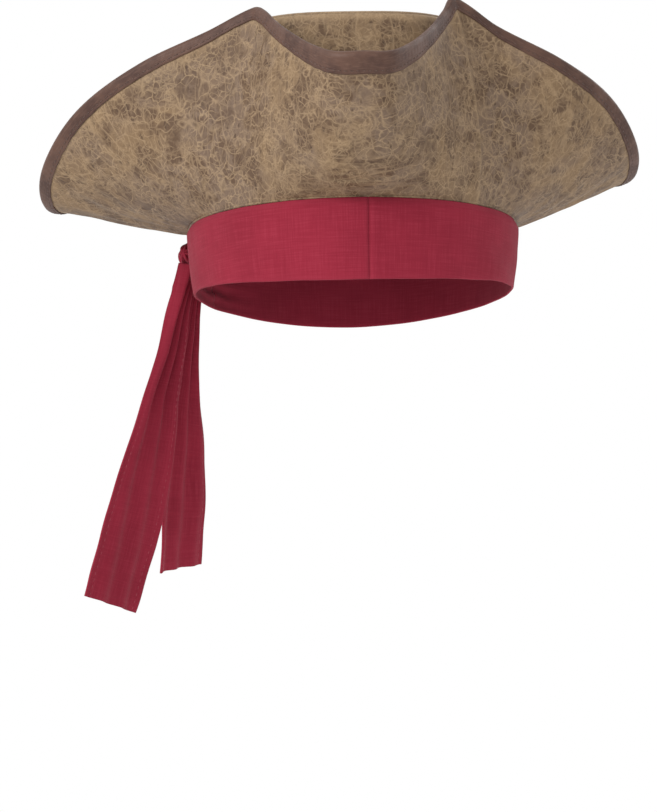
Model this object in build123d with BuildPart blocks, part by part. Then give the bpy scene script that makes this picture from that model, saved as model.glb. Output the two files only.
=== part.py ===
from build123d import *
from math import copysign, cos, exp, pi, radians, sin
import os

os.makedirs("parts", exist_ok=True)

# A three-cornered hat with a sewn head band. Millimetres, +Z up, front of the hat towards -Y.
# The origin is the centre of the head opening, level with the band's lower edge at the front.

# --- driving dimensions ---
seam_height = 47             # where crown, brim and head band are sewn together
seam_back_rise = 5           # the seam climbs this much from the sides to the centre back
crown_top_height = 161
crown_base = (95, 105)       # half width and half length of the crown at the seam
crown_head = (69, 79)        # half width and half length at the top
crown_head_power = 3.0       # squareness of the top outline, 2 is an ellipse
brim_root = (97.5, 107.5)    # half width and half length of the line where the brim starts

skin_thick = 0.8             # leather-look cloth
core_thick = 1.6             # stiffening layer in the brim
panel_thick = 2.0            # crown cloth bonded to its backing
crown_edge_radius = 1.2
crown_foot_reach = 1.4       # the crown's seam allowance turns out towards the brim's root
crown_foot_thick = 1.0
lining_thick = 0.8
play = 0.25                  # between the layers of one sandwich

binding_reach = 8.5          # how far the edge tape covers the brim
binding_front_extra = 3.5    # it is wider over the front corner
binding_front_spread = 26    # degrees
binding_thick = 0.8
binding_nose = 1.2           # how far its rounded fold reaches past the straight legs
wire_radius = 0.6

band_half = (100, 110)       # outer half width and half length of the head band at the seam
band_foot = (95, 105)        # the same at its lower edge
band_seam_x = 5              # the front seam is a little to one side
band_thick = 1.5
band_side_rise = 7           # the band's lower edge is higher at the sides
sweatband_thick = 1.2
sweatband_height = 30

knot_angle = -118            # from the front, negative towards -X
knot_radius = 8.5
knot_end_radius = 3.5
knot_half_length = 14
knot_height = 40
knot_room = 0.3
tail_thick = 4
tail_room = 0.6              # between the knot and the tails that swing round it
tail_apart = 6               # from the knot's middle to the top of each tail
tail_top_width = 10
tail_lean = 10               # degrees outwards from straight down
tail_lengths = {"tail_front": 215, "tail_back": 190}
tail_end_widths = {"tail_front": 50, "tail_back": 46}
tail_end_slant = 8           # the ends are cut at a slant
tail_splay = 9               # degrees between a tail and the plane through the knot

far = 200                    # beyond every part of the hat, for cutting shapes

# Stations round the brim: angle from the front, then how far its edge stands out from the root,
# how far it leans towards the back, how high it rises, and how deep the face bellies outwards.
front_stations = [
    (0, 69, 0, 67, 12),
    (10, 65, -14, 68, 12),
    (18, 49, -21, 76, 11),
    (26, 30, -22, 88, 9),
    (33, 12, -17, 101, 8),
    (38, 2, -12, 111, 7),
]
back_stations = [
    (140, 58, 0, 77, 5),
    (160, 38, 0, 92, 7),
    (180, 33, 0, 95, 8),
]
left_stations = front_stations + [
    (42, -2, -8, 115, 7),
    (52, 11, -2, 104, 8),
    (64, 40, 0, 88, 8),
    (80, 70, 0, 65, 7),
    (96, 92, 0, 36, 3),
    (110, 98, 0, 22, 0),
    (124, 88, 0, 45, 1),
] + back_stations
right_stations = front_stations + [
    (42, -2, -8, 120, 7),
    (52, 10, -2, 105, 8),
    (64, 37, 0, 88, 8),
    (80, 61, 0, 70, 7),
    (96, 81, 0, 46, 4),
    (110, 89, 0, 36, 1),
    (124, 80, 0, 51, 2),
] + back_stations
station_step = 7.5           # degrees between the sections of a brim layer
back_seam_angle = 0.15       # half the angle that the brim's seam leaves open at the centre back
ridge_angles = [18, 26, 33, 38, 42, 47]  # closer sections round the front corners' folds


def ellipse_point(half, angle, height):
    return Vector(half[0] * sin(radians(angle)), -half[1] * cos(radians(angle)), height)


def seam_level(angle):
    return seam_height + seam_back_rise * max(0, -cos(radians(angle)))


def outward(half, angle):
    return Vector(sin(radians(angle)) / half[0], -cos(radians(angle)) / half[1], 0).normalized()


def station_at(stations, angle):
    """Reach, lean, rise and belly at an angle, on a smooth curve through the stations."""
    last = len(stations) - 1

    def station(i):
        if 0 <= i <= last:
            return stations[i]
        a, reach, lean, rise, belly = stations[-i if i < 0 else 2 * last - i]
        return (-a if i < 0 else 360 - a, reach, -lean, rise, belly)

    i = max(k for k in range(last) if stations[k][0] <= angle)
    before, here, there, after = (station(k) for k in (i - 1, i, i + 1, i + 2))
    span = there[0] - here[0]
    u = (angle - here[0]) / span
    values = []
    for k in range(1, 5):
        slope_here = (there[k] - before[k]) / (there[0] - before[0]) * span
        slope_there = (after[k] - here[k]) / (after[0] - here[0]) * span
        values.append(
            (2 * u**3 - 3 * u**2 + 1) * here[k] + (u**3 - 2 * u**2 + u) * slope_here
            + (3 * u**2 - 2 * u**3) * there[k] + (u**3 - u**2) * slope_there
        )
    return values


class BrimSection:
    """The brim cut from root to edge at one angle, with its own plane: x along the chord, y outwards."""

    def __init__(self, angle, side):
        stations = right_stations if side > 0 else left_stations
        reach, lean, rise, self.belly = station_at(stations, angle)
        out = outward(brim_root, side * angle)
        back = Vector(-out.Y, out.X, 0) * side
        chord = out * reach + back * lean + Vector(0, 0, rise)
        along = chord.normalized()
        down_and_out = out - Vector(0, 0, 1)
        self.bulge = (down_and_out - along * down_and_out.dot(along)).normalized()
        self.length = chord.length
        self.binding_start = chord.length - binding_reach - binding_front_extra * exp(
            -((angle / binding_front_spread) ** 2)
        )
        self.plane = Plane(
            origin=ellipse_point(brim_root, side * angle, seam_level(angle)),
            x_dir=along,
            z_dir=along.cross(self.bulge),
        )

    def point(self, distance, depth):
        """A point this far from the root along the chord, this deep below the outer face."""
        t = distance / self.length
        height = self.belly * 4 * t * (1 - t) * (1.25 - 0.5 * t)
        slope = self.belly * 4 * (1.25 - 3.5 * t + 1.5 * t * t) / self.length
        norm = (1 + slope * slope) ** 0.5
        return (distance + depth * slope / norm, height - depth / norm)


def face_curve(section, start, end, depth):
    """Control points of the curve that runs along the section at one depth, from start to end."""
    a, b, c, d = (Vector(*section.point(start + (end - start) * k / 3, depth)) for k in range(4))
    return [a, (a * -5 + b * 18 - c * 9 + d * 2) / 6, (a * 2 - b * 9 + c * 18 - d * 5) / 6, d]


def section_angles():
    """Angles right round from the back seam to the back seam, closer together at the front folds."""
    regular = [k * station_step for k in range(int(180 / station_step))]
    half = sorted([a for a in regular if not 15 < a < 50] + ridge_angles) + [180 - back_seam_angle]
    return [-a for a in half[:0:-1]] + half


def brim_sections():
    return [BrimSection(abs(angle), 1 if angle >= 0 else -1) for angle in section_angles()]


edge_room = 3.4              # the layers stop short of the edge, and the wire lies beyond them
wire_from_edge = 2.2
root_room = 5                # the inner layers start this far from the seam, clear of the crown
core_depth = skin_thick + play
upper_depth = core_depth + core_thick + play
brim_thick = upper_depth + skin_thick


def brim_layer(start, depth, thick):
    """One layer of the brim, with its butt seam at the centre back."""
    with BuildPart() as layer:
        for section in brim_sections():
            end = section.length - edge_room
            outer = face_curve(section, start, end, depth)
            inner = face_curve(section, start, end, depth + thick)
            with BuildSketch(section.plane):
                with BuildLine():
                    Bezier(*outer)
                    Line(outer[-1], inner[-1])
                    Bezier(*inner)
                    Line(inner[0], outer[0])
                make_face()
        loft()
    return layer


def brim_binding():
    """Tape folded over the edge: one leg on each face, joined round the edge."""
    near, far = -play - binding_thick, brim_thick + play + binding_thick
    with BuildPart() as tape:
        for section in brim_sections():
            start, end = section.binding_start, section.length - binding_nose
            face = face_curve(section, start, end, near)
            face_in = face_curve(section, start, end, -play)
            back_in = face_curve(section, start, end, brim_thick + play)
            back = face_curve(section, start, end, far)
            with BuildSketch(section.plane):
                with BuildLine():
                    Bezier(*face)
                    ThreePointArc(face[-1], section.point(section.length, brim_thick / 2), back[-1])
                    Bezier(*back)
                    Line(back[0], back_in[0])
                    Bezier(*back_in)
                    Line(back_in[-1], face_in[-1])
                    Bezier(*face_in)
                    Line(face_in[0], face[0])
                make_face()
        loft()
    return tape


def brim_wire():
    """A round wire that follows the edge inside the fold of the tape."""
    sections = brim_sections()
    spots = []
    for section in sections:
        x, y = section.point(section.length - wire_from_edge, brim_thick / 2)
        spots.append(section.plane.from_local_coords(Vector(x, y, 0)))
    with BuildPart() as wire:
        for k, section in enumerate(sections):
            along = spots[min(k + 1, len(spots) - 1)] - spots[max(k - 1, 0)]
            with BuildSketch(Plane(origin=spots[k], x_dir=section.bulge.cross(along), z_dir=along)):
                Circle(wire_radius)
        loft()
    return wire


def crown_outline(half, power, count=48):
    """Points of a rounded oval; the power sets how square it is."""
    points = []
    for k in range(count):
        angle = 2 * pi * k / count
        x = half[0] * copysign(abs(cos(angle)) ** (2 / power), cos(angle))
        y = half[1] * copysign(abs(sin(angle)) ** (2 / power), sin(angle))
        points.append((x, y))
    return points


def crown_size(height, inset):
    """Half sizes and squareness of the crown at a height, moved in by the layers outside it."""
    u = (height - seam_height) / (crown_top_height - seam_height)
    half = [a + (b - a) * u - inset for a, b in zip(crown_base, crown_head)]
    return half, 2 + (crown_head_power - 2) * u


def crown_solid(low, high, inset):
    """The tapered oval of the crown between two heights."""
    middle = (low + high) / 2
    with BuildPart() as solid:
        for height in (low, middle, high):
            half, power = crown_size(height, inset)
            with BuildSketch(Plane.XY.offset(height)):
                with BuildLine():
                    Spline(crown_outline(half, power), periodic=True)
                make_face()
        loft()
    return solid


def crown_shell(low, high, inset, thick):
    outer = crown_solid(low, high, inset)
    inner = crown_solid(low - 1, high + 1, inset + thick)
    with BuildPart() as shell:
        add(outer.part)
        add(inner.part, mode=Mode.SUBTRACT)
    return shell


# --- brim ---
brim_pieces = {
    "brim_under_skin": brim_layer(0, 0, skin_thick),
    "brim_core": brim_layer(root_room, core_depth, core_thick),
    "brim_upper_skin": brim_layer(root_room, upper_depth, skin_thick),
    "brim_binding": brim_binding(),
    "brim_wire": brim_wire(),
}
for name, piece in brim_pieces.items():
    piece.part.label = name
    export_step(piece.part, f"parts/{name}.step")

# --- crown: two side panels that meet at the sides, and a flat top ---
top_low = crown_top_height - panel_thick
side_high = top_low - play
lining_inset = panel_thick + play

with BuildPart() as crown_wall:
    add(crown_shell(seam_height, side_high, 0, panel_thick).part)
    with BuildSketch(Plane.XY.offset(seam_height)):
        Ellipse(*(half + crown_foot_reach for half in crown_base))
        Ellipse(*(half - panel_thick / 2 for half in crown_base), mode=Mode.SUBTRACT)
    extrude(amount=crown_foot_thick)
for name, side in (("crown_front", -1), ("crown_back", 1)):
    with BuildPart() as crown_panel:
        add(crown_wall.part)
        with BuildSketch(Plane.XY.offset(seam_height)):
            with Locations((0, side * (far + play / 2))):
                Rectangle(2 * far, 2 * far)
        extrude(amount=crown_top_height, mode=Mode.INTERSECT)
    crown_panel.part.label = name
    export_step(crown_panel.part, f"parts/{name}.step")

with BuildPart() as crown_top:
    top_half, top_power = crown_size(top_low, 0)
    with BuildSketch(Plane.XY.offset(top_low)):
        with BuildLine():
            Spline(crown_outline(top_half, top_power), periodic=True)
        make_face()
    extrude(amount=panel_thick)
    fillet(crown_top.edges().group_by(Axis.Z)[-1], crown_edge_radius)
crown_top.part.label = "crown_top"
export_step(crown_top.part, "parts/crown_top.step")

lining_high = side_high - lining_thick - play
with BuildPart() as lining_side:
    add(crown_shell(seam_height, lining_high, lining_inset, lining_thick).part)
lining_side.part.label = "lining_side"
export_step(lining_side.part, "parts/lining_side.step")

with BuildPart() as lining_top:
    add(crown_solid(side_high - lining_thick, side_high, lining_inset).part)
lining_top.part.label = "lining_top"
export_step(lining_top.part, "parts/lining_top.step")

sweatband_inset = lining_inset + lining_thick + play
with BuildPart() as sweatband:
    add(crown_shell(seam_height, seam_height + sweatband_height, sweatband_inset, sweatband_thick).part)
sweatband.part.label = "sweatband"
export_step(sweatband.part, "parts/sweatband.step")

# --- head band: two strips that meet at the centre front and under the knot ---
band_room = 0.4              # between the band's top and the brim's root
band_high = seam_height - band_room
band_full = band_high + seam_back_rise
climb_start = 4              # how far behind the middle the top begins to climb
cut_room = 2                 # the cut shapes reach past the band at both ends


def band_size(level, inset):
    """Half width and half length of the band at a level, straight from foot to top."""
    return [a + (b - a) * level / band_full - inset for a, b in zip(band_foot, band_half)]


with BuildPart() as band_ring:
    for inset, mode in ((0, Mode.ADD), (band_thick, Mode.SUBTRACT)):
        for level in (-cut_room, band_full + cut_room):
            with BuildSketch(Plane.XY.offset(level)):
                Ellipse(*band_size(level, inset))
        loft(mode=mode)
    # the top is level round the front half and climbs towards the back with the seam
    with BuildSketch(Plane.YZ.offset(-far)):
        with BuildLine():
            Polyline(
                (-far, band_high),
                (climb_start, band_high),
                (brim_root[1], band_full),
                (far, band_full),
                (far, far),
                (-far, far),
                close=True,
            )
        make_face()
    extrude(amount=2 * far, mode=Mode.SUBTRACT)
    # the lower edge is an arc, higher at both sides
    wide = band_half[0]
    with BuildSketch(Plane.XZ.offset(-far)):
        with BuildLine():
            ThreePointArc((-wide, band_side_rise), (0, 0), (wide, band_side_rise))
            Polyline(
                (wide, band_side_rise),
                (wide + cut_room, band_side_rise),
                (wide + cut_room, -2 * cut_room),
                (-wide - cut_room, -2 * cut_room),
                (-wide - cut_room, band_side_rise),
                (-wide, band_side_rise),
            )
        make_face()
    extrude(amount=2 * far, mode=Mode.SUBTRACT)

seam_gap = 0.2               # half the gap between the two strips
knot_way = outward(band_half, knot_angle)
knot_foot = ellipse_point(band_half, knot_angle, 0)
knot_axis = Vector(-knot_way.Y, knot_way.X, 0)  # along the band, towards the front
for name, turn in (("band_left", 1), ("band_right", -1)):
    # the left strip is the corner between the front seam and the cut under the knot
    gap = seam_gap * turn
    knot_end = knot_foot * 2 + knot_axis * gap
    seam_x = band_seam_x - gap
    corner = [(0, 0), (seam_x, 0), (seam_x, -far), (-far, -far), (-far, knot_end.Y), (knot_end.X, knot_end.Y)]
    with BuildPart() as strip:
        add(band_ring.part)
        with BuildSketch(Plane.XY.offset(-2 * cut_room)):
            with BuildLine():
                Polyline(*corner, close=True)
            make_face()
        extrude(amount=band_full + 4 * cut_room, mode=Mode.INTERSECT if turn > 0 else Mode.SUBTRACT)
    strip.part.label = name
    export_step(strip.part, f"parts/{name}.step")

# --- knot and tails ---
knot_centre = knot_foot + knot_way * (knot_room + knot_radius) + Vector(0, 0, knot_height)
with BuildPart() as band_knot:
    with BuildSketch(Plane(origin=knot_centre, x_dir=knot_axis, z_dir=(0, 0, 1))):
        with BuildLine():
            ThreePointArc(
                (-knot_half_length, knot_end_radius), (0, knot_radius), (knot_half_length, knot_end_radius)
            )
            Polyline(
                (knot_half_length, knot_end_radius),
                (knot_half_length, 0),
                (-knot_half_length, 0),
                (-knot_half_length, knot_end_radius),
            )
        make_face()
    revolve(axis=Axis(knot_centre, knot_axis))
band_knot.part.label = "band_knot"
export_step(band_knot.part, "parts/band_knot.step")

tail_start = knot_radius + tail_room
down = (Vector(0, 0, -cos(radians(tail_lean))) + knot_way * sin(radians(tail_lean))).normalized()
for name, way in (("tail_front", 1), ("tail_back", -1)):
    length, end_width = tail_lengths[name], tail_end_widths[name]
    root = knot_centre + knot_axis * (way * tail_apart)
    with BuildPart() as tail:
        with BuildSketch(Plane(origin=root, x_dir=knot_axis * way, z_dir=(knot_axis * way).cross(down))):
            lean = length * sin(radians(tail_splay))
            with BuildLine():
                Polyline(
                    (-tail_top_width / 2, tail_start),
                    (tail_top_width / 2, tail_start),
                    (lean + end_width / 2, length),
                    (lean - end_width / 2, length + tail_end_slant),
                    close=True,
                )
            make_face()
        extrude(amount=tail_thick / 2, both=True)
    tail.part.label = name
    export_step(tail.part, f"parts/{name}.step")

# --- thread tacks that hold the turned-up brim to the crown ---
tack_radius = 0.7
tack_share = 0.66            # how far up the brim the tacks are
tack_room = 0.6              # the thread's ends stop short of the cloth they are sewn through
with BuildPart() as brim_tacks:
    for side, angle in ((1, 44), (-1, 44), (1, 180)):
        section = BrimSection(angle, side)
        x, y = section.point(section.length * tack_share, brim_thick + tack_room)
        at_brim = section.plane.from_local_coords(Vector(x, y, 0))
        half, power = crown_size(at_brim.Z, -tack_room)
        scale = (abs(at_brim.X / half[0]) ** power + abs(at_brim.Y / half[1]) ** power) ** (1 / power)
        at_crown = Vector(at_brim.X / scale, at_brim.Y / scale, at_brim.Z)
        with BuildSketch(Plane(origin=at_brim, z_dir=at_crown - at_brim)):
            Circle(tack_radius)
        extrude(amount=(at_crown - at_brim).length)
brim_tacks.part.label = "brim_tacks"
export_step(brim_tacks.part, "parts/brim_tacks.step")
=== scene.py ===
import bpy
import bmesh
import math
from mathutils import Matrix, Quaternion, Vector, noise


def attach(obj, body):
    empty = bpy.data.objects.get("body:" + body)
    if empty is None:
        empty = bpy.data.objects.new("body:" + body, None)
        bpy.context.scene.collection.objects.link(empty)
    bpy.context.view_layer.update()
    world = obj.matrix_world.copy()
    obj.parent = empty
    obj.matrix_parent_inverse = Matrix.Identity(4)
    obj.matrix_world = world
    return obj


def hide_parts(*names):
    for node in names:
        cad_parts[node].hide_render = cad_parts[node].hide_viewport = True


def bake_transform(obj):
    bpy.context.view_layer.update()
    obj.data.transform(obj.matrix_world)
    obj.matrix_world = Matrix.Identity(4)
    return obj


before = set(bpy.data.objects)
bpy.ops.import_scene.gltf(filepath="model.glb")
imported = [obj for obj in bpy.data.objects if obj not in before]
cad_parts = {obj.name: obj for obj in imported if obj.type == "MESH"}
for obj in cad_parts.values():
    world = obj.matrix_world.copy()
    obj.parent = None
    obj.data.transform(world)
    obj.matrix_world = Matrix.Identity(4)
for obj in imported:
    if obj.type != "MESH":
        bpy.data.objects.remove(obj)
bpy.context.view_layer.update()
scene = bpy.context.scene
mm = 0.001                                # pieces are shaped in millimetres and scaled once
print("frame loaded")


# ---- shared helpers ----
def meshObject(name, bm):
    bmesh.ops.scale(bm, vec=(mm, mm, mm), verts=bm.verts)
    mesh = bpy.data.meshes.new(name)
    bm.to_mesh(mesh)
    bm.free()
    mesh.polygons.foreach_set("use_smooth", [True] * len(mesh.polygons))
    piece = bpy.data.objects.new(name, mesh)
    scene.collection.objects.link(piece)
    return piece


# a flat grid moved onto a curved sheet: shape(u, v) gives the place, the two cloth measures, the wear and
# painted highlight and, on the brim, how far the cloth's hairs lie across the front
def sheetMesh(columns, rows, shape, joinSides=False, joinEnds=False, fillEnds=False):
    bm = bmesh.new()
    bmesh.ops.create_grid(bm, x_segments=columns, y_segments=rows, size=0.5)
    uvLayer = bm.loops.layers.uv.new("cloth")
    wearLayer = bm.verts.layers.float.new("wearAndHighlight")
    frontLayer = bm.verts.layers.float.new("front")
    measures = {}
    for vert in bm.verts:
        place, across, up, wearAndHighlight, *front = shape(vert.co.x + 0.5, vert.co.y + 0.5)
        measures[vert] = (across * mm, up * mm)
        vert[wearLayer] = wearAndHighlight
        vert[frontLayer] = front[0] if front else 0.0
        vert.co = place
    for face in bm.faces:
        for loop in face.loops:
            loop[uvLayer].uv = measures[loop.vert]
    if joinSides or joinEnds:
        bmesh.ops.remove_doubles(bm, verts=[v for v in bm.verts if v.is_boundary], dist=0.001)
    if fillEnds:
        bmesh.ops.holes_fill(bm, edges=[e for e in bm.edges if e.is_boundary], sides=0)
    return bm


def addThickness(piece, thickness):
    wall = piece.modifiers.new("thickness", "SOLIDIFY")
    wall.thickness = thickness * mm
    wall.offset = -1
    wall.use_even_offset = False
    wall.use_quality_normals = True


def dress(piece, finish, slot, *nodes):
    piece.data.materials.append(finish)
    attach(piece, "hat")
    if nodes:
        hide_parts(*nodes)


def ramp(value, low, high):
    t = min(1, max(0, (value - low) / (high - low)))
    return t * t * (3 - 2 * t)


def bump(value, centre, width):
    return math.exp(-(((value - centre) / width) ** 2))


def roughen(place, size, seed=0):
    return noise.noise(place / size + Vector((seed, seed * 1.7, -seed)))


# places that share a line of spots out evenly by its length, and the length up to each
def shareOut(fine, spots, count):
    lengths = [0.0]
    for a, b in zip(spots, spots[1:]):
        lengths.append(lengths[-1] + (b - a).length)
    places, measures, k = [], [], 0
    for i in range(count + 1):
        wanted = lengths[-1] * i / count
        while k < len(fine) - 2 and lengths[k + 1] < wanted:
            k += 1
        share = (wanted - lengths[k]) / (lengths[k + 1] - lengths[k])
        places.append(fine[k] + (fine[k + 1] - fine[k]) * share)
        measures.append(wanted)
    return places, measures


def addStitch(bm, start, end, normal, radius):
    along = (end - start).normalized()
    side = normal.cross(along).normalized()
    up = along.cross(side)
    length = (end - start).length / 2
    turn = Matrix((along * length, side * radius, up * radius)).transposed().to_4x4()
    bmesh.ops.create_uvsphere(bm, u_segments=6, v_segments=4, radius=1,
                              matrix=Matrix.Translation((start + end) / 2) @ turn)


# ---- camera, light and floor ----
cameraSettings = {
    "aim": Vector((0, 0, 0.11)),          # middle of the hat, above the head band
    "azimuth": -2.5,
    "elevation": -11.5,                   # the hat is seen from a little below
    "distance": 1.7,
    "roll": 1.2,
    "heightSeen": 0.49212,                # metres of height in view at the aim
    "aimRight": 0.01303,                  # the aim lies this far right of the middle of the view
    "aimUp": 0.17091,                     # and this far above it
}


def makeCamera(s):
    azimuth, elevation = math.radians(s["azimuth"]), math.radians(s["elevation"])
    back = Vector((math.sin(azimuth) * math.cos(elevation), -math.cos(azimuth) * math.cos(elevation),
                   math.sin(elevation)))
    data = bpy.data.cameras.new("camera")
    data.sensor_fit = "VERTICAL"
    data.sensor_height = 24
    data.sensor_width = 24
    data.lens = data.sensor_height * s["distance"] / s["heightSeen"]
    camera = bpy.data.objects.new("camera", data)
    look = (-back).to_track_quat("-Z", "Y")
    turn = Quaternion((0, 0, 1), math.radians(-s["roll"]))
    aside = Quaternion((0, 1, 0), math.atan(s["aimRight"] / s["distance"]))
    upwards = Quaternion((1, 0, 0), -math.atan(s["aimUp"] / s["distance"]))
    camera.rotation_mode = "QUATERNION"
    camera.location = s["aim"] + back * s["distance"]
    camera.rotation_quaternion = look @ turn @ aside @ upwards
    scene.collection.objects.link(camera)
    scene.camera = camera


stageSettings = {
    "worldStrength": 1.0,
    "key": {"place": (-1.7, -1.5, 0.9), "size": 1.0, "power": 36},
    "fill": {"place": (0.6, -2.2, -0.1), "size": 1.6, "power": 3},
    "rim": {"place": (1.2, 1.5, 1.2), "size": 1.0, "power": 10},
    "floorLevel": -1400,
    "floorSize": 6000,
    "floorColour": (0.86, 0.86, 0.86, 1),
    "floorGlow": 0.15,                    # keeps the far floor as pale as the world behind it
}


def makeLight(name, s):
    data = bpy.data.lights.new(name, "AREA")
    data.size = s["size"]
    data.energy = s["power"]
    lamp = bpy.data.objects.new(name, data)
    lamp.location = s["place"]
    lamp.rotation_euler = (Vector((0, 0, 0.05)) - lamp.location).to_track_quat("-Z", "Y").to_euler()
    scene.collection.objects.link(lamp)


def makeStage(s):
    world = bpy.data.worlds.new("studio")
    world.use_nodes = True
    world.node_tree.nodes["Background"].inputs["Color"].default_value = (1, 1, 1, 1)
    world.node_tree.nodes["Background"].inputs["Strength"].default_value = s["worldStrength"]
    scene.world = world
    for name in ("key", "fill", "rim"):
        makeLight(name, s[name])
    bm = bmesh.new()
    bmesh.ops.create_grid(bm, x_segments=2, y_segments=2, size=s["floorSize"] / 2)
    bmesh.ops.translate(bm, verts=bm.verts, vec=(0, 0, s["floorLevel"]))
    floor = meshObject("floor", bm)
    paint, _, shader = newFinish("floorPaint")
    shader.inputs["Base Color"].default_value = s["floorColour"]
    shader.inputs["Roughness"].default_value = 0.9
    shader.inputs["Emission Color"].default_value = (1, 1, 1, 1)
    shader.inputs["Emission Strength"].default_value = s["floorGlow"]
    floor.data.materials.append(paint)


# ---- node helpers for the finishes ----
def newFinish(name):
    finish = bpy.data.materials.new(name)
    finish.use_nodes = True
    tree = finish.node_tree
    return finish, tree, tree.nodes["Principled BSDF"]


def addNode(tree, kind, sockets=None, **settings):
    made = tree.nodes.new("ShaderNode" + kind)
    for key, value in settings.items():
        setattr(made, key, value)
    for key, value in (sockets or {}).items():
        if isinstance(value, bpy.types.NodeSocket):
            tree.links.new(value, made.inputs[key])
        else:
            made.inputs[key].default_value = value
    return made


def stretched(tree, coords, scale, shift=(0, 0, 0)):
    return addNode(tree, "Mapping", {"Vector": coords, "Scale": scale, "Location": shift}).outputs[0]


def noiseValue(tree, coords, scale, detail=3, rough=0.55, bend=0.0):
    return addNode(tree, "TexNoise", {"Vector": coords, "Scale": scale, "Detail": detail,
                                      "Roughness": rough, "Distortion": bend}).outputs[0]


def fromTo(tree, value, low, high, first=0.0, last=1.0):
    return addNode(tree, "MapRange", {"Value": value, "From Min": low, "From Max": high,
                                      "To Min": first, "To Max": last},
                   interpolation_type="SMOOTHSTEP").outputs[0]


def maths(tree, operation, a, b=0.5, c=0.5):
    return addNode(tree, "Math", {0: a, 1: b, 2: c}, operation=operation).outputs[0]


def mixed(tree, factor, a, b, blend="MIX"):
    return addNode(tree, "Mix", {0: factor, 6: a, 7: b}, data_type="RGBA", blend_type=blend).outputs[2]


# thin curving lines, like the contours of a smooth noise
def hairLines(tree, coords, scale, contours, width):
    drift = maths(tree, "MULTIPLY", noiseValue(tree, coords, scale, 1.6, 0.45, 0.15), contours)
    return fromTo(tree, maths(tree, "PINGPONG", drift, 0.5), 0.0, width, 1.0, 0.0)


def raised(tree, shader, height, depth, strength=1.0):
    made = addNode(tree, "Bump", {"Height": height, "Distance": depth * mm, "Strength": strength})
    tree.links.new(made.outputs[0], shader.inputs["Normal"])


leatherSettings = {
    "tan": (0.194, 0.125, 0.069, 1),
    "deep": (0.086, 0.049, 0.028, 1),
    "smoke": (0.148, 0.100, 0.070, 1),
    "pit": (0.058, 0.034, 0.021, 1),
    "line": (0.365, 0.254, 0.148, 1),
    # how many to the metre: slow patches, dark patches, long specks, fine grain, fading of the lines
    "mottle": 20, "blotch": 72, "specks": 330, "grain": 900, "fading": 60,
    "pitShare": 0.7, "wearAndHighlightShare": 0.7, "grainShare": 0.22,
    "wander": (90.0, 11),                 # the crackle wanders: turns to the metre and how far in mm
    "relief": 0.35,
    # crackle lines: cells to the metre, width as a share of a cell, strength
    "webs": [(70, 0.040, 0.55), (125, 0.060, 0.60), (230, 0.085, 0.50)],
    # hairs: scale, stretch across and up, contours, width, strength, where they lie
    "hairs": [
        (38, (1.0, 1.0), 6, 0.090, 0.45, "all"),
        (22, (2.8, 0.45), 9, 0.110, 0.50, "sides"),
        (24, (0.45, 2.8), 9, 0.110, 0.55, "front"),
        (75, (1.1, 0.8), 4, 0.110, 0.35, "all"),
    ],
}


# light lines along the edges of uneven cells
def crackle(tree, coords, cells, width):
    edges = addNode(tree, "TexVoronoi", {"Vector": coords, "Scale": cells}, feature="DISTANCE_TO_EDGE")
    return fromTo(tree, edges.outputs["Distance"], 0.0, width, 1.0, 0.0)


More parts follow.
